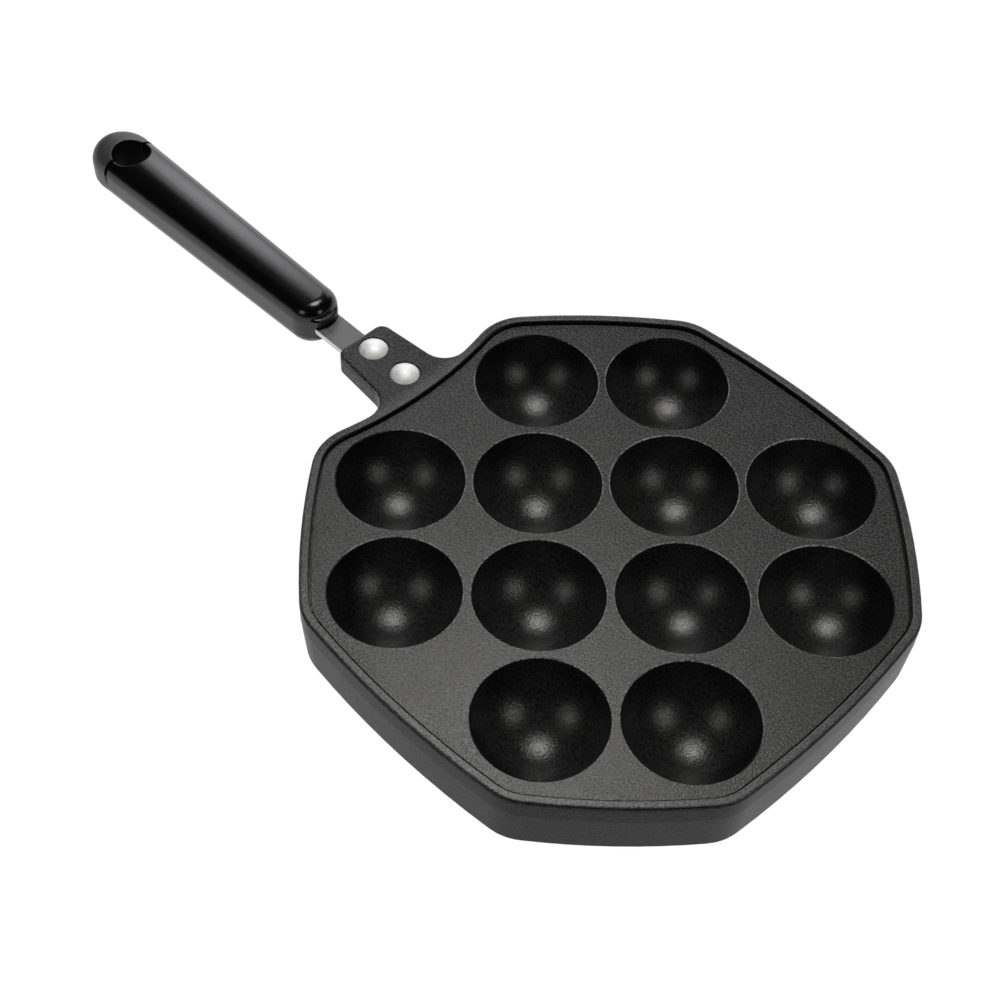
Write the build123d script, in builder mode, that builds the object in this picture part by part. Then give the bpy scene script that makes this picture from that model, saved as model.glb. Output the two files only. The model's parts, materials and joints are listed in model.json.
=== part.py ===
"""Takoyaki pan: a cast plate of twelve round cups with a lip, an open skirt and a lug,
two rivets, a flat steel tang with a threaded rod, and a moulded grip with a hanging eye.

Millimetres. The origin is the centre of the cup pattern on the plane that the pan stands
on. +Z is up and the handle points along -X, across a corner of the square cup pattern.
"""

from build123d import *
from math import asin, degrees, radians, sqrt, tan
import os

os.makedirs("parts", exist_ok=True)

# ---------------------------------------------------------------- cups and plate
cup_diameter = 40.0          # mouth of a cup
cup_web = 2.2                # metal left between two neighbouring mouths
cup_depth = 18.0             # from the plate's top to the bottom of a cup
cup_wall = 2.6               # metal under a cup
cup_edge = 0.3               # bevel round each mouth
cups_in_row = (2, 4, 4, 2)   # cups in each row of the pattern
base_clearance = 1.1         # from the table to the lowest point of a cup's underside
plate_thickness = 3.0

# ---------------------------------------------------------------- outline, lip and skirt
edge_margin = 9.0            # from the nearest mouth to the outer wall, mid side
row_side_radius = 245.0      # sweep of the four sides that face the rows and columns
end_side_radius = 320.0      # sweep of the three sides across the pattern's corners
corner_radius = 18.0
handle_side_inset = 5.7      # how far the side with the lug sits inside the other three
handle_side_radius = 140.0   # hollow sweep of the side with the lug
lip_height = 1.5
lip_width = 2.9
lip_outer_round = 1.0
lip_inner_round = 0.5
gutter_width = 0.8           # narrow gutter in the plate at the foot of the lip
gutter_depth = 0.5
skirt_wall = 2.7
skirt_draft = 3.2            # degrees, below the lug
core_draft = 1.0             # degrees, inside the skirt
base_edge = 0.6              # rounding round the foot of the skirt

# ---------------------------------------------------------------- lug and rivets
lug_past_rivet = 6.9         # from the outer rivet's centre to the lug's tip
lug_tip_width = 20.0
lug_taper = 5.2              # degrees, each side
lug_height = 7.2
lug_tip_radius = 3.5
lug_root_radius = 8.0
rivet_past_side = 7.12       # from the side with the lug to the inner rivet's centre
rivet_pitch = 15.0
rivet_shank = 5.0
rivet_head = 9.5
rivet_dome = 1.9
rivet_tail = 8.4             # formed head under the tang
rivet_tail_height = 1.5
rivet_hole_play = 0.1        # radial
spot_face_margin = 0.4       # radial, round a rivet's head
spot_face_depth = 0.3

# ---------------------------------------------------------------- tang and rod
tang_width = 10.2
tang_thickness = 2.0
tang_corner = 2.5
tang_end_gap = 1.5           # from the skirt's wall to the tang's inner end
tang_in_grip = 30.0          # length of the tang inside the grip
tang_play = 0.2              # each side in the lug's channel, all round in the grip's slot
rod_diameter = 5.0
rod_weld_length = 10.0       # the rod lies in a slot this long in the tang's end
rod_play = 0.2               # radial, in the grip's bore and the washer
rod_point = 0.6              # chamfer on the rod's end
thread_play = 0.05           # radial, in the nut

# ---------------------------------------------------------------- grip and hanging eye
tang_shown = 15.7            # from the lug's tip to the grip's nose
grip_nose_width = 17.1
grip_tail_width = 22.3       # across the round end
grip_height = 17.0
grip_crown_radius = 26.0     # sweep of the top and bottom across the grip
grip_nose_flat = 0.5         # left between the two rounds of the nose, in plan
grip_edge_radius = 5.5
blank_margin = 1.0           # the crowned bar is this much wider than the outline, each side
collar_length = 1.4          # the round collar stands this far out of the nose
collar_width = 14.0
collar_height = 9.0
collar_edge = 1.0
eye_diameter = 13.4
eye_past_nose = 106.0        # from the grip's nose to the eye's centre
tail_past_eye = 5.2          # from the eye's centre to the centre of the round end
eye_edge = 0.6
seam_past_eye = 1.5          # the end cap starts this far past the eye's centre
groove_width = 0.9           # groove in the top, along the seam
groove_depth = 5.5           # below the highest line of the top
peg_width = 1.8
peg_height = 6.0
peg_length = 6.0
peg_play = 0.1
nut_across_flats = 8.0
nut_height = 4.0
washer_diameter = 9.8
washer_thickness = 1.0
thread_past_nut = 1.0
nut_pocket_play = 0.4        # radial, round the washer

# ---------------------------------------------------------------- worked out from those
cup_radius = cup_diameter / 2
cup_pitch = cup_diameter + cup_web
cup_sphere = (cup_radius**2 + cup_depth**2) / (2 * cup_depth)
dome_sphere = cup_sphere + cup_wall
plate_top = base_clearance + cup_wall + cup_depth
plate_under = plate_top - plate_thickness
plate_middle = plate_top - plate_thickness / 2
cup_centre_z = plate_top - cup_depth + cup_sphere
dome_latitude = -degrees(asin((cup_centre_z - plate_middle) / dome_sphere))
pan_height = plate_top + lip_height
rows = len(cups_in_row)
cup_places = [
    ((column - (count - 1) / 2) * cup_pitch, (row - (rows - 1) / 2) * cup_pitch)
    for row, count in enumerate(cups_in_row)
    for column in range(count)
]
row_side = (rows - 1) / 2 * cup_pitch + cup_radius + edge_margin
corner_cup = ((rows - 1) / 2 + (cups_in_row[0] - 1) / 2) * cup_pitch / sqrt(2)
end_side = corner_cup + cup_radius + edge_margin
handle_side = end_side - handle_side_inset
draft_inset = (pan_height - lug_height) * tan(radians(skirt_draft))

rivet_reach = handle_side + rivet_past_side
rivet_reaches = (rivet_reach, rivet_reach + rivet_pitch)
rivet_places = [(-reach, 0) for reach in rivet_reaches]
lug_reach = rivet_reaches[-1] + lug_past_rivet
grip_reach = lug_reach + tang_shown
eye_reach = grip_reach + eye_past_nose
tail_reach = eye_reach + tail_past_eye

lug_under = pan_height - lug_height
lug_base = handle_side - lip_width
lug_half_base = lug_tip_width / 2 + (lug_reach - lug_base) * tan(radians(lug_taper))
head_seat = pan_height - spot_face_depth

tang_axis_z = lug_under + tang_thickness / 2
tang_start = handle_side + tang_end_gap
tang_end = grip_reach + tang_in_grip
rod_start = tang_end - rod_weld_length
rod_end = eye_reach - eye_diameter / 2
pocket_floor = rod_end - thread_past_nut - nut_height - washer_thickness

nose_radius = (grip_nose_width - grip_nose_flat) / 2
tail_radius = grip_tail_width / 2
grip_end = tail_reach + tail_radius
grip_top = tang_axis_z + grip_height / 2
grip_bottom = tang_axis_z - grip_height / 2
seam = eye_reach + seam_past_eye
arm_middle = (eye_diameter / 2 + tail_radius) / 2
pick = 0.01                  # how near an edge must be to the place it is picked by


# ---------------------------------------------------------------- outlines in plan
full_sides = [(turn, row_side, row_side_radius) for turn in (45, 135, 225, 315)]
full_sides += [(turn, end_side, end_side_radius) for turn in (-90, 0, 90)]
with BuildSketch() as pan_outline:
    for number, (turn, reach, radius) in enumerate(full_sides):
        with PolarLocations(radius - reach, 1, start_angle=turn + 180):
            Circle(radius, mode=Mode.INTERSECT if number else Mode.ADD)
    with Locations((-handle_side - handle_side_radius, 0)):
        Circle(handle_side_radius, mode=Mode.SUBTRACT)
    # in and out again rounds the eight corners
    offset(amount=-corner_radius, mode=Mode.REPLACE)
    offset(amount=corner_radius, kind=Kind.ARC, mode=Mode.REPLACE)

with BuildSketch() as lug_outline:
    add(pan_outline.sketch)
    with BuildLine():
        Polyline(
            (-lug_base, -lug_half_base),
            (-lug_reach, -lug_tip_width / 2),
            (-lug_reach, lug_tip_width / 2),
            (-lug_base, lug_half_base),
            close=True,
        )
    make_face()
    tip = lug_outline.vertices().group_by(Axis.X)[0]
    fillet(tip, lug_tip_radius)
    beside_lug = lug_outline.vertices().filter_by_position(Axis.Y, -lug_half_base, lug_half_base)
    roots = beside_lug.filter_by_position(Axis.X, -handle_side - lug_tip_radius, 0)
    fillet(roots, lug_root_radius)


# ---------------------------------------------------------------- the casting
turned_pattern = Location((0, 0, cup_centre_z), (0, 0, 45))

with BuildPart() as pan_body:
    # upright band with the lug, and the drafted skirt below it
    with BuildSketch(Plane.XY.offset(pan_height)):
        add(lug_outline.sketch)
    extrude(amount=-lug_height)
    with BuildSketch(Plane.XY.offset(lug_under)):
        add(pan_outline.sketch)
    extrude(amount=-lug_under, taper=skirt_draft)
    # hollow under the plate, with the undersides of the cups hanging in it
    with BuildSketch():
        add(pan_outline.sketch)
        offset(amount=-(draft_inset + skirt_wall), mode=Mode.REPLACE)
    extrude(amount=plate_under, taper=core_draft, mode=Mode.SUBTRACT)
    with Locations(turned_pattern):
        with Locations(*cup_places):
            Sphere(dome_sphere, arc_size1=-90, arc_size2=dome_latitude, align=None)
    # plate, sunk inside the lip, and the gutter round it
    with BuildSketch(Plane.XY.offset(plate_top)):
        add(pan_outline.sketch)
        offset(amount=-lip_width, mode=Mode.REPLACE)
    extrude(amount=lip_height, mode=Mode.SUBTRACT)
    with BuildSketch(Plane.XY.offset(plate_top)):
        add(pan_outline.sketch)
        offset(amount=-lip_width, mode=Mode.REPLACE)
        offset(amount=-gutter_width, mode=Mode.SUBTRACT)
    extrude(amount=-gutter_depth, mode=Mode.SUBTRACT)
    rim_face = pan_body.faces().sort_by(Axis.Z)[-1]
    fillet(rim_face.outer_wire().edges(), lip_outer_round)
    rim_face = pan_body.faces().sort_by(Axis.Z)[-1]
    fillet(rim_face.inner_wires()[0].edges(), lip_inner_round)
    base_face = pan_body.faces().sort_by(Axis.Z)[0]
    fillet(base_face.outer_wire().edges(), base_edge)
    # cups
    with Locations(turned_pattern):
        with Locations(*cup_places):
            Sphere(cup_sphere, mode=Mode.SUBTRACT)
    rounds = pan_body.edges().filter_by(GeomType.CIRCLE)
    rounds = rounds.filter_by_position(Axis.Z, plate_top - pick, plate_top + pick)
    chamfer(rounds.filter_by(lambda edge: abs(edge.radius - cup_radius) < pick), cup_edge)
    # channel for the tang, rivet holes and their spot faces
    with BuildSketch(Plane.XY.offset(lug_under)):
        with Locations((tang_play - tang_start, 0)):
            Rectangle(lug_reach, tang_width + 2 * tang_play, align=(Align.MAX, Align.CENTER))
    extrude(amount=tang_thickness, mode=Mode.SUBTRACT)
    with BuildSketch(Plane.XY.offset(pan_height)):
        with Locations(*rivet_places):
            Circle(rivet_head / 2 + spot_face_margin)
    extrude(amount=-spot_face_depth, mode=Mode.SUBTRACT)
    with Locations(*[(x, y, pan_height) for x, y in rivet_places]):
        Hole(rivet_shank / 2 + rivet_hole_play, lug_height)

# ---------------------------------------------------------------- tang and rod
with BuildPart() as handle_tang:
    with BuildSketch(Plane.XY.offset(lug_under)) as strip:
        with Locations((-tang_start, 0)):
            Rectangle(tang_end - tang_start, tang_width, align=(Align.MAX, Align.CENTER))
        fillet(strip.vertices().group_by(Axis.X)[-1], tang_corner)
        with Locations(*rivet_places):
            Circle(rivet_shank / 2 + rivet_hole_play, mode=Mode.SUBTRACT)
        with Locations((-tang_end, 0)):
            Rectangle(
                rod_weld_length,
                rod_diameter,
                align=(Align.MIN, Align.CENTER),
                mode=Mode.SUBTRACT,
            )
    extrude(amount=tang_thickness)

with BuildPart() as handle_rod:
    with BuildSketch(Plane.YZ.offset(-rod_start)):
        with Locations((0, tang_axis_z)):
            Circle(rod_diameter / 2)
    extrude(amount=-(rod_end - rod_start))
    chamfer(handle_rod.edges().group_by(Axis.X)[0], rod_point)

# ---------------------------------------------------------------- rivets
head_sphere = ((rivet_head / 2) ** 2 + rivet_dome**2) / (2 * rivet_dome)
tail_sphere = ((rivet_tail / 2) ** 2 + rivet_tail_height**2) / (2 * rivet_tail_height)
head_top = head_seat + rivet_dome
tail_bottom = lug_under - rivet_tail_height
for name, reach in zip(("rivet_inner", "rivet_outer"), rivet_reaches):
    with BuildPart() as rivet:
        with BuildSketch(Plane.XZ):
            with BuildLine():
                Line((-reach, tail_bottom), (-reach, head_top))
                RadiusArc((-reach, head_top), (rivet_head / 2 - reach, head_seat), head_sphere)
                Polyline(
                    (rivet_head / 2 - reach, head_seat),
                    (rivet_shank / 2 - reach, head_seat),
                    (rivet_shank / 2 - reach, lug_under),
                    (rivet_tail / 2 - reach, lug_under),
                )
                RadiusArc((rivet_tail / 2 - reach, lug_under), (-reach, tail_bottom), tail_sphere)
            make_face()
        revolve(axis=Axis((-reach, 0, 0), (0, 0, 1)))
    rivet.part.label = name
    export_step(rivet.part, f"parts/{name}.step")


# ---------------------------------------------------------------- grip and hanging eye
def grip_form():
    """The whole moulding, nose to tail: a crowned bar cut to the plan outline, with the eye."""
    half_blank = tail_radius + blank_margin
    crown_drop = grip_crown_radius - sqrt(grip_crown_radius**2 - half_blank**2)
    side_top = grip_top - crown_drop
    side_bottom = grip_bottom + crown_drop
    with BuildPart() as form:
        with BuildSketch(Plane.YZ.offset(-grip_reach)):
            with BuildLine():
                ThreePointArc((-half_blank, side_top), (0, grip_top), (half_blank, side_top))
                Line((half_blank, side_top), (half_blank, side_bottom))
                ThreePointArc(
                    (half_blank, side_bottom), (0, grip_bottom), (-half_blank, side_bottom)
                )
                Line((-half_blank, side_bottom), (-half_blank, side_top))
            make_face()
        extrude(amount=grip_reach - grip_end - grip_edge_radius)
        with BuildSketch(Plane.XY.offset(tang_axis_z)) as plan:
            with BuildLine():
                Polyline(
                    (-tail_reach, tail_radius),
                    (-grip_reach, grip_nose_width / 2),
                    (-grip_reach, -grip_nose_width / 2),
                    (-tail_reach, -tail_radius),
                    close=True,
                )
            make_face()
            fillet(plan.vertices().group_by(Axis.X)[-1], nose_radius)
            with Locations((-tail_reach, 0)):
                Circle(tail_radius)
        extrude(amount=grip_height, both=True, mode=Mode.INTERSECT)
        crowns = form.faces().group_by(Axis.Z)
        fillet(crowns[0].edges() + crowns[-1].edges(), grip_edge_radius)
        with Locations((-eye_reach, 0, grip_top)):
            Hole(eye_diameter / 2, grip_height)
        eye_wall = form.faces().filter_by(GeomType.CYLINDER)
        eye_wall = eye_wall.filter_by(lambda face: abs(face.radius - eye_diameter / 2) < pick)
        rims = eye_wall.edges().filter_by(GeomType.LINE, reverse=True)
        fillet(rims, eye_edge)
        with BuildSketch(Plane.XY.offset(grip_top)):
            with Locations((-seam, 0)):
                Rectangle(groove_width, grip_tail_width + 2 * groove_width)
        extrude(amount=-groove_depth, mode=Mode.SUBTRACT)
    return form.part


def peg_faces(play):
    """The two pegs' sections in the middle of the eye's arms, on a plane across the handle."""
    with BuildSketch() as faces:
        with Locations((arm_middle, tang_axis_z), (-arm_middle, tang_axis_z)):
            Rectangle(peg_width + 2 * play, peg_height + 2 * play)
    return faces.sketch


moulding = grip_form()

with BuildPart() as collar:
    # the far half of the slot-shaped block lies inside the grip
    with BuildSketch(Plane.XY.offset(tang_axis_z)):
        with Locations((collar_length - grip_reach - collar_width, 0)):
            SlotOverall(2 * collar_width, collar_width)
    extrude(amount=collar_height / 2, both=True)
    fillet(collar.edges().filter_by(Plane.XY), collar_edge)

with BuildPart() as handle_grip:
    add(moulding)
    split(bisect_by=Plane.YZ.offset(-seam), keep=Keep.TOP)
    add(collar.part)
    # slot for the tang, bore for the rod, pocket for the nut, sockets for the cap's pegs
    with BuildSketch(Plane.YZ.offset(collar_length - grip_reach)):
        with Locations((0, tang_axis_z)):
            Rectangle(tang_width + 2 * tang_play, tang_thickness + 2 * tang_play)
    extrude(amount=-(collar_length + tang_in_grip), mode=Mode.SUBTRACT)
    with BuildSketch(Plane.YZ.offset(collar_length - grip_reach)):
        with Locations((0, tang_axis_z)):
            Circle(rod_diameter / 2 + rod_play)
    extrude(amount=-(eye_reach - grip_reach), mode=Mode.SUBTRACT)
    with BuildSketch(Plane.YZ.offset(-pocket_floor)):
        with Locations((0, tang_axis_z)):
            Circle(washer_diameter / 2 + nut_pocket_play)
    extrude(amount=-(eye_reach - pocket_floor), mode=Mode.SUBTRACT)
    with BuildSketch(Plane.YZ.offset(-seam)):
        add(peg_faces(peg_play))
    extrude(amount=peg_length + peg_play, mode=Mode.SUBTRACT)

with BuildPart() as hanging_end_cap:
    add(moulding)
    split(bisect_by=Plane.YZ.offset(-seam), keep=Keep.BOTTOM)
    with BuildSketch(Plane.YZ.offset(-seam)):
        add(peg_faces(0))
    extrude(amount=peg_length)

# ---------------------------------------------------------------- washer and nut
with BuildPart() as rod_washer:
    with BuildSketch(Plane.YZ.offset(-pocket_floor)):
        with Locations((0, tang_axis_z)):
            Circle(washer_diameter / 2)
            Circle(rod_diameter / 2 + rod_play, mode=Mode.SUBTRACT)
    extrude(amount=-washer_thickness)

with BuildPart() as rod_nut:
    with BuildSketch(Plane.YZ.offset(-pocket_floor - washer_thickness)):
        with Locations((0, tang_axis_z)):
            RegularPolygon(nut_across_flats / 2, 6, major_radius=False)
            Circle(rod_diameter / 2 + thread_play, mode=Mode.SUBTRACT)
    extrude(amount=-nut_height)

for name, piece in {
    "pan_body": pan_body,
    "handle_tang": handle_tang,
    "handle_rod": handle_rod,
    "handle_grip": handle_grip,
    "hanging_end_cap": hanging_end_cap,
    "rod_washer": rod_washer,
    "rod_nut": rod_nut,
}.items():
    piece.part.label = name
    export_step(piece.part, f"parts/{name}.step")
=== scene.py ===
"""Looks of the takoyaki pan: the materials of its pieces, a white table and a photo studio.

Metres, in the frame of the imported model: +Z is up and the handle points along -X.
"""

import json
from math import radians, sqrt

import bpy
from mathutils import Euler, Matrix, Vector


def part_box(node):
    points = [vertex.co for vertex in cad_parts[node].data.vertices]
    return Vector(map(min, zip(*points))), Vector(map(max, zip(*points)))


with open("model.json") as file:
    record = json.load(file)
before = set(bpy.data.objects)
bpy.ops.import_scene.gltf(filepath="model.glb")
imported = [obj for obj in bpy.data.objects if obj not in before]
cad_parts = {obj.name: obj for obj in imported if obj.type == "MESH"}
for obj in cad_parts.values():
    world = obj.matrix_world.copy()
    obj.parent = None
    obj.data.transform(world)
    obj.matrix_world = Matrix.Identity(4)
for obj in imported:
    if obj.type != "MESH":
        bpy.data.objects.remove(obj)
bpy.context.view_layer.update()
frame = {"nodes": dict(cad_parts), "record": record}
nodes = frame["nodes"]
scene = bpy.context.scene

# ---------------------------------------------------------------- lengths and places of the part
mm = 0.001
lip_height = 1.5 * mm
cup_pitch = 42.2 * mm
cup_radius = 20.0 * mm
pattern_turn = radians(45)               # the rows of cups run at this angle to X
_, pan_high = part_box("pan_body")
pan_reach = pan_high.x
plate_top = pan_high.z - lip_height
lug_side, pan_side = -86 * mm, -82 * mm  # the lug's painted shade and painted light fade into the pan's tones between these
eye_middle = (-233.7 * mm, 0, 0)
eye_radius = 6.7 * mm
seam = -235.2 * mm                       # between the grip and the end cap
seam_low, seam_high = 15 * mm, 18 * mm   # the seam's painted shade line fades in between these heights
nose = -127.7 * mm                       # the grip's end by the pan


# ---------------------------------------------------------------- node helpers
class Graph:
    """A node tree under construction."""

    def __init__(self, tree):
        self.tree = tree
        tree.nodes.clear()

    def add(self, kind, inputs=None, **settings):
        """Adds a node. An input is a socket to link from, or the socket's own value."""
        node = self.tree.nodes.new(kind)
        for name, value in settings.items():
            setattr(node, name, value)
        for name, value in (inputs or {}).items():
            if isinstance(value, bpy.types.NodeSocket):
                self.tree.links.new(value, node.inputs[name])
            else:
                node.inputs[name].default_value = value
        return node

    def math(self, operation, *values):
        inputs = dict(enumerate(values))
        return self.add("ShaderNodeMath", inputs, operation=operation).outputs[0]

    def product(self, first, *others):
        for other in others:
            first = self.math("MULTIPLY", first, other)
        return first

    def either(self, first, second):
        return self.math("MAXIMUM", first, second)

    def above(self, value, limit):
        return self.math("GREATER_THAN", value, limit)

    def below(self, value, limit):
        return self.math("LESS_THAN", value, limit)

    def ramp(self, value, low, high, at_low=0.0, at_high=1.0):
        """Goes smoothly from at_low to at_high as the value goes from low to high."""
        inputs = {
            "Value": value,
            "From Min": low,
            "From Max": high,
            "To Min": at_low,
            "To Max": at_high,
        }
        node = self.add("ShaderNodeMapRange", inputs, interpolation_type="SMOOTHSTEP")
        return node.outputs["Result"]

    def mix(self, factor, low, high):
        """low where the factor is 0 and high where it is 1. Both are sockets or numbers."""
        inputs = {"Factor": factor, "A": low, "B": high}
        return self.add("ShaderNodeMix", inputs, data_type="FLOAT").outputs["Result"]

    def noise(self, place, size, detail=2.0, roughness=0.5):
        """Noise from 0 to 1 with lumps of about that size."""
        inputs = {"Vector": place, "Scale": 1 / size, "Detail": detail, "Roughness": roughness}
        return self.add("ShaderNodeTexNoise", inputs).outputs["Fac"]

    def vector(self, operation, *values):
        inputs = dict(enumerate(values))
        return self.add("ShaderNodeVectorMath", inputs, operation=operation)

    def dot(self, first, second):
        return self.vector("DOT_PRODUCT", first, second).outputs["Value"]

    def level(self, vector):
        """The vector without its height."""
        return self.vector("MULTIPLY", vector, (1, 1, 0)).outputs[0]

    def axes(self, vector):
        return self.add("ShaderNodeSeparateXYZ", {"Vector": vector}).outputs

    def normal(self):
        return self.add("ShaderNodeNewGeometry").outputs["True Normal"]

    def grey(self, value, tint=(1.0, 1.0, 1.0)):
        """A colour that is the value times the tint."""
        channels = [self.math("MULTIPLY", value, part) for part in tint]
        return self.add("ShaderNodeCombineColor", dict(enumerate(channels))).outputs["Color"]

    def bump(self, height, distance, strength=1.0):
        inputs = {"Height": height, "Distance": distance, "Strength": strength}
        return self.add("ShaderNodeBump", inputs).outputs["Normal"]


def material(name):
    """A new material, its graph, the place on the part in metres and the Principled shader."""
    made = bpy.data.materials.new(name)
    made.use_nodes = True
    graph = Graph(made.node_tree)
    place = graph.add("ShaderNodeTexCoord").outputs["Object"]
    shader = graph.add("ShaderNodeBsdfPrincipled")
    output = graph.add("ShaderNodeOutputMaterial", {"Surface": shader.outputs["BSDF"]})
    output.is_active_output = True
    return made, graph, place, shader


def feed(graph, shader, **sockets):
    """Links or sets the shader's sockets by name, with _ for a space."""
    for name, value in sockets.items():
        socket = shader.inputs[name.replace("_", " ")]
        if isinstance(value, bpy.types.NodeSocket):
            graph.tree.links.new(value, socket)
        else:
            socket.default_value = value


# ---------------------------------------------------------------- coated casting
casting, graph, place, shader = material("coated_casting")
along, _, height = graph.axes(place)
normal = graph.normal()
facing = graph.axes(normal)[2]
outward = graph.dot(normal, graph.level(place))   # grows with the distance from the middle

# Distance from the middle of the nearest cup. The pattern is twelve of the sixteen squares of a
# grid, and places outside those twelve count as far from any cup.
turned = graph.add(
    "ShaderNodeMapping",
    {"Vector": place, "Rotation": (0, 0, -pattern_turn), "Scale": (1 / cup_pitch,) * 3},
    vector_type="POINT",
).outputs["Vector"]
in_square = graph.vector("FRACTION", turned).outputs[0]
off_middle = graph.level(graph.vector("SUBTRACT", in_square, (0.5, 0.5, 0)).outputs[0])
from_cup = graph.vector("LENGTH", off_middle).outputs["Value"]
squares_x, squares_y, _ = graph.axes(graph.vector("ABSOLUTE", turned).outputs[0])
no_cup = graph.either(
    graph.above(graph.math("MAXIMUM", squares_x, squares_y), 2.0),
    graph.above(graph.math("MINIMUM", squares_x, squares_y), 1.0),
)
from_cup = graph.product(graph.math("ADD", from_cup, no_cup), cup_pitch)

# Masks from 0 to 1 of where the finish differs and where light and shade are painted. The gutter
# lies at the lip's foot, lip_foot is the foot itself where it faces the middle, and under_crest
# is the lip's outer round; all three get painted shade.
in_cup = graph.product(
    graph.below(from_cup, cup_radius + 0.1 * mm),
    graph.below(height, plate_top - 0.28 * mm),
    graph.above(facing, 0.02),
)
on_top = graph.product(graph.ramp(facing, 0.3, 0.8), graph.math("SUBTRACT", 1.0, in_cup))
# painted highlight on the bevel round each cup's mouth
painted_rim_highlight = graph.product(
    graph.below(from_cup, cup_radius + 0.4 * mm),
    graph.below(facing, 0.99),
    graph.ramp(height, plate_top - 0.55 * mm, plate_top - 0.3 * mm),
    graph.below(height, plate_top + 0.01 * mm),
)
gutter = graph.product(
    graph.above(from_cup, cup_radius + 0.45 * mm),
    graph.above(facing, -0.1),
    graph.above(height, plate_top - 0.7 * mm),
    graph.ramp(height, plate_top - 0.15 * mm, plate_top - 0.03 * mm, 1.0, 0.0),
)
lip_foot = graph.product(
    graph.ramp(height, plate_top + 0.1 * mm, plate_top + 0.4 * mm, 1.0, 0.0),
    graph.ramp(outward, -0.6 * pan_reach, -0.25 * pan_reach, 1.0, 0.0),
)
lip_crest = graph.ramp(height, plate_top + 0.9 * mm, plate_top + 1.3 * mm)
off_lug = graph.ramp(along, lug_side, pan_side)
under_crest = graph.product(
    off_lug,
    graph.above(height, plate_top + 0.6 * mm),
    graph.above(outward, 0.0),
    graph.ramp(facing, 0.55, 0.7),
    graph.ramp(facing, 0.82, 0.93, 1.0, 0.0),
)
# painted shade in the gutter, at the lip's foot and under the lip's crest
painted_crease_shade = graph.either(graph.either(gutter, lip_foot), under_crest)

# brightness, with a painted highlight on the lip's crest, where the grain is also fainter
grain = graph.noise(place, 0.7 * mm, detail=2.0, roughness=0.7)
grain_depth = 0.12 * mm
patches = graph.noise(place, 9 * mm, detail=3.0)
lug_top_painted_shade, plate_shade, lug_side_painted_light, skirt_shade = 0.04, 0.058, 0.09, 0.014
cup_shade, crest_painted_highlight, rim_painted_highlight_tone, crease_painted_shade_tone = 0.018, 0.042, 0.28, 0.006
# painted shade on the lug's top and painted light on its sides
top_shade = graph.mix(off_lug, lug_top_painted_shade, plate_shade)
side_shade = graph.mix(off_lug, lug_side_painted_light, skirt_shade)
shade = graph.mix(in_cup, graph.mix(on_top, side_shade, top_shade), cup_shade)
# painted highlight on the lip's crest
shade = graph.math("ADD", shade, graph.product(lip_crest, on_top, off_lug, crest_painted_highlight))
# a painted highlight on the cup rims and painted shade in the creases
shade = graph.mix(painted_crease_shade, graph.mix(painted_rim_highlight, shade, rim_painted_highlight_tone), crease_painted_shade_tone)
# the grain is fainter where the crest's highlight is painted
crest_smoothing = graph.product(lip_crest, off_lug, 0.4)
speckle = graph.mix(crest_smoothing, graph.ramp(grain, 0.36, 0.66, 0.3, 1.8), 1.0)
shade = graph.product(shade, speckle, graph.ramp(patches, 0.3, 0.7, 0.92, 1.08))
texture = graph.bump(grain, grain_depth, graph.mix(graph.either(on_top, in_cup), 0.6, 1.0))
feed(
    graph,
    shader,
    Base_Color=graph.grey(shade, (1.0, 0.995, 1.0)),
    IOR=1.35,
    Specular_IOR_Level=0.13,
    Coat_Weight=graph.mix(in_cup, graph.mix(on_top, 0.0, 0.42), 1.0),
    Coat_IOR=1.5,
    Coat_Roughness=0.26,
    Coat_Normal=texture,
    Roughness=graph.mix(on_top, 0.35, 0.16),
    Normal=texture,
)

# ---------------------------------------------------------------- rivets
rivet_metal, graph, place, shader = material("rivet_metal")
wear = graph.noise(place, 1.6 * mm, detail=3.0)
feed(
    graph,
    shader,
    Metallic=0.8,
    Base_Color=graph.grey(graph.ramp(wear, 0.35, 0.65, 0.9, 1.0)),
    Roughness=graph.ramp(wear, 0.3, 0.7, 0.56, 0.68),
    Normal=graph.bump(wear, 0.06 * mm, 0.6),
)


# ---------------------------------------------------------------- steel of the tang and rod
def steel(name, shine, upright_painted_highlight, rough):
    """Steel brushed along X, with a painted highlight on its upright faces."""
    made, graph, place, shader = material(name)
    stretched = graph.add(
        "ShaderNodeMapping", {"Vector": place, "Scale": (0.06, 1, 1)}, vector_type="POINT"
    )
    brush = graph.noise(stretched.outputs["Vector"], 0.35 * mm, detail=3.0)
    facing = graph.axes(graph.normal())[2]
    # upright faces get a painted highlight over the steel's own tone on top
    shade = graph.ramp(facing, 0.4, 0.8, upright_painted_highlight, shine)
    feed(
        graph,
        shader,
        Metallic=1.0,
        Base_Color=graph.grey(graph.product(shade, graph.ramp(brush, 0.3, 0.7, 0.85, 1.12))),
        Roughness=graph.ramp(brush, 0.3, 0.7, rough * 0.85, rough * 1.2),
        Normal=graph.bump(brush, 0.03 * mm, 0.5),
    )
    return made


tang_steel = steel("tang_steel", shine=0.155, upright_painted_highlight=0.65, rough=0.5)
fastener_steel = steel("fastener_steel", shine=0.55, upright_painted_highlight=0.6, rough=0.35)


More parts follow.
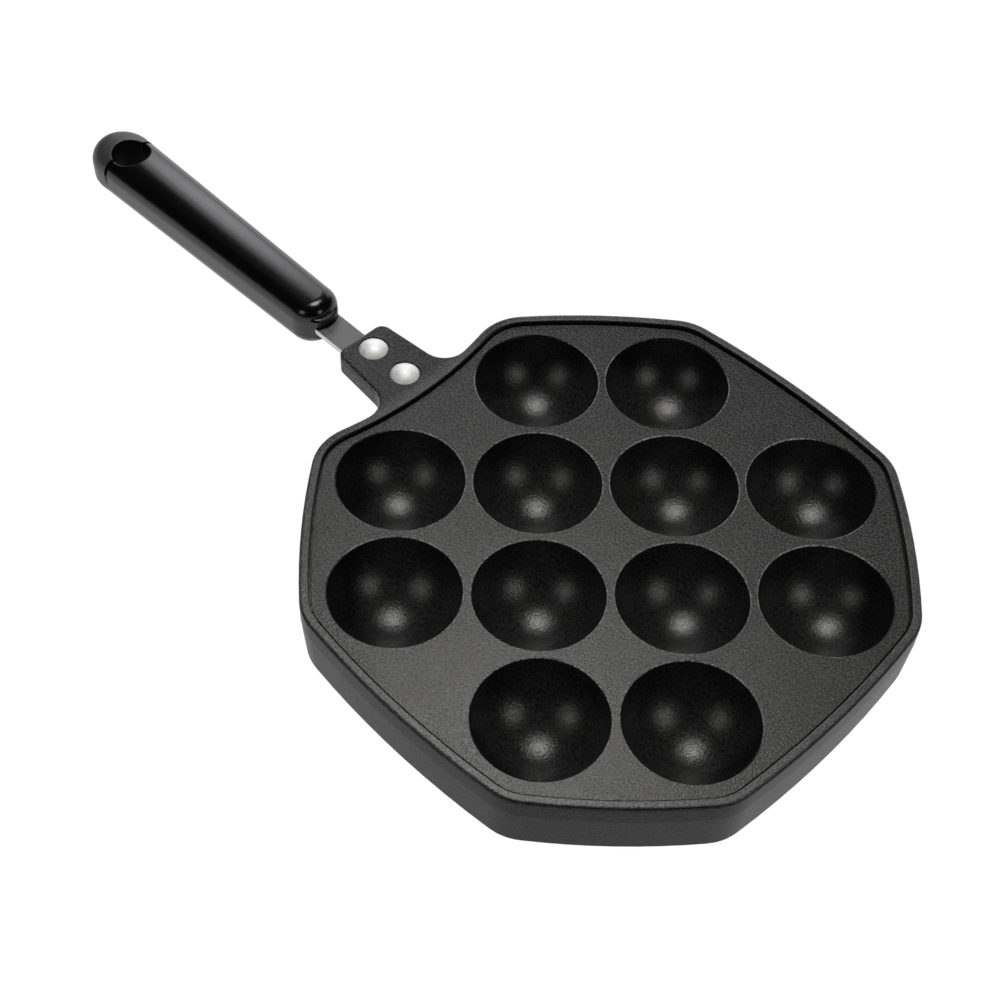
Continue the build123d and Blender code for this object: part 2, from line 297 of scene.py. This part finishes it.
# ---------------------------------------------------------------- plastics
def plastic(name, shade, rough, lump, depth):
    """Moulded black plastic with a faint surface texture of that lump size.

    The eye's wall and the top of its seam get painted shade, dark and metallic so they show no
    reflection. They and the collar at the nose are dull.
    """
    painted_shade_tone, dull_roughness = 0.001, 0.5
    made, graph, place, shader = material(name)
    texture = graph.noise(place, lump, detail=3.0)
    flow = graph.noise(place, 14 * mm)
    off_eye = graph.level(graph.vector("SUBTRACT", place, eye_middle).outputs[0])
    from_eye = graph.vector("LENGTH", off_eye).outputs["Value"]
    eye_painted_shade = graph.ramp(from_eye, eye_radius + 0.1 * mm, eye_radius + 0.4 * mm, 1.0, 0.0)
    along, _, height = graph.axes(place)
    from_seam = graph.math("ABSOLUTE", graph.math("SUBTRACT", along, seam))
    seam_painted_shade = graph.product(
        graph.ramp(from_seam, 0.6 * mm, 0.9 * mm, 1.0, 0.0),
        graph.ramp(height, seam_low, seam_high),
    )
    # painted shade in the eye and along the top of the seam
    dark = graph.either(eye_painted_shade, seam_painted_shade)
    on_collar = graph.ramp(along, nose - 0.4 * mm, nose)
    shade = graph.ramp(flow, 0.3, 0.7, shade * 0.9, shade * 1.1)
    rough = graph.ramp(texture, 0.3, 0.7, rough * 0.9, rough * 1.12)
    feed(
        graph,
        shader,
        Base_Color=graph.grey(graph.mix(dark, shade, painted_shade_tone)),
        Metallic=dark,
        Roughness=graph.mix(graph.either(dark, on_collar), rough, dull_roughness),
        Normal=graph.bump(texture, depth, 0.5),
    )
    return made


grip_plastic = plastic("grip_plastic", shade=0.002, rough=0.2, lump=0.9 * mm, depth=0.01 * mm)
cap_plastic = plastic("cap_plastic", shade=0.05, rough=0.42, lump=0.6 * mm, depth=0.08 * mm)

finishes = {
    "coated_casting": casting,
    "rivet_metal": rivet_metal,
    "tang_steel": tang_steel,
    "fastener_steel": fastener_steel,
    "grip_plastic": grip_plastic,
    "cap_plastic": cap_plastic,
}
for subpart in frame["record"]["subparts"]:
    node = nodes[subpart["node"]]
    for material_slot in node.material_slots:
        material_slot.material = finishes[subpart["material_slot"]]

# ---------------------------------------------------------------- table
table_reach = 6.0
corners = [(-table_reach, -table_reach, 0), (table_reach, -table_reach, 0)]
corners += [(table_reach, table_reach, 0), (-table_reach, table_reach, 0)]
table_mesh = bpy.data.meshes.new("table")
table_mesh.from_pydata(corners, [], [(0, 1, 2, 3)])
table = bpy.data.objects.new("table", table_mesh)
scene.collection.objects.link(table)
table_white, graph, _, shader = material("table_white")
feed(
    graph,
    shader,
    Base_Color=(0.05, 0.05, 0.05, 1.0),
    Roughness=0.9,
    Specular_IOR_Level=0.0,
    Emission_Color=(1.0, 1.0, 1.0, 1.0),
    Emission_Strength=1.0,
)
table_mesh.materials.append(table_white)

# ---------------------------------------------------------------- studio: backdrop and lights
behind = (-sqrt(0.5), sqrt(0.5), 0)      # away from the camera, along the table
to_right = (sqrt(0.5), sqrt(0.5), 0)     # to the picture's right, along the table
warm_white = (1.0, 0.995, 0.955)
cool_white = (0.96, 0.955, 1.0)
world = bpy.data.worlds.new("studio")
scene.world = world
world.use_nodes = True
graph = Graph(world.node_tree)
direction = graph.add("ShaderNodeTexCoord").outputs["Generated"]
ahead = graph.dot(direction, behind)
sideways = graph.dot(direction, to_right)
turn = graph.math("ARCTAN2", sideways, ahead)             # angle to the right of behind
climb = graph.math("ARCSINE", graph.axes(direction)[2])   # angle above the table

# a pale wall behind the pan, a bright band at the horizon all round, and a dim room above
wall = graph.product(
    graph.ramp(turn, radians(-24), radians(-8)),
    graph.ramp(turn, radians(30), radians(50), 1.0, 0.0),
    graph.ramp(climb, radians(26), radians(38), 1.0, 0.0),
    graph.ramp(climb, radians(0), radians(25), 1.15, 1.5),
)
horizon = graph.ramp(climb, radians(3), radians(12), 0.8, 0.0)
room = graph.ramp(climb, radians(-2), radians(6), 0.0, 0.014)
radiance = graph.math("ADD", graph.math("ADD", wall, horizon), room)
background = graph.add("ShaderNodeBackground", {"Strength": radiance})
background.inputs["Color"].default_value = (*cool_white, 1)
graph.add("ShaderNodeOutputWorld", {"Surface": background.outputs["Background"]})

# place, what it faces, width in metres, power in watts, colour
grip_top = Vector((-184 * mm, 0, 25 * mm))
plate_middle = Vector((0, 0, plate_top))
back = (-0.4575, 0.2355, 0.2935)
lights = {
    "softbox_right": ((0.381, 0.050, 0.321), plate_middle, 0.16, 0.23, warm_white),
    "softbox_left": ((-0.124, -0.387, 0.290), plate_middle, 0.16, 0.17, warm_white),
    "softbox_over": ((-0.185, 0.149, 0.640), plate_middle, 0.274, 1.85, warm_white),
    "softbox_back_core": (back, grip_top, 0.12, 0.124, cool_white),
    "softbox_back": (back, grip_top, 0.22, 0.19, cool_white),
}
for name, (spot, aim, width, power, colour) in lights.items():
    data = bpy.data.lights.new(name, "AREA")
    data.shape = "DISK"
    data.size = width
    data.energy = power
    data.color = colour
    lamp = bpy.data.objects.new(name, data)
    lamp.location = spot
    lamp.rotation_euler = (aim - Vector(spot)).to_track_quat("-Z", "Y").to_euler()
    lamp.visible_camera = False
    scene.collection.objects.link(lamp)

# ---------------------------------------------------------------- camera
camera_data = bpy.data.cameras.new("camera")
camera_data.lens = 62.51
camera_data.sensor_width = 36.0
camera_data.clip_start = 0.01
camera = bpy.data.objects.new("camera", camera_data)
camera.location = (0.19277, -0.25358, 0.43699)
camera.rotation_euler = Euler([radians(angle) for angle in (38.389, -1.658, 45.302)])
scene.collection.objects.link(camera)
bpy.context.scene.camera = camera
scene.view_settings.view_transform = "Standard"
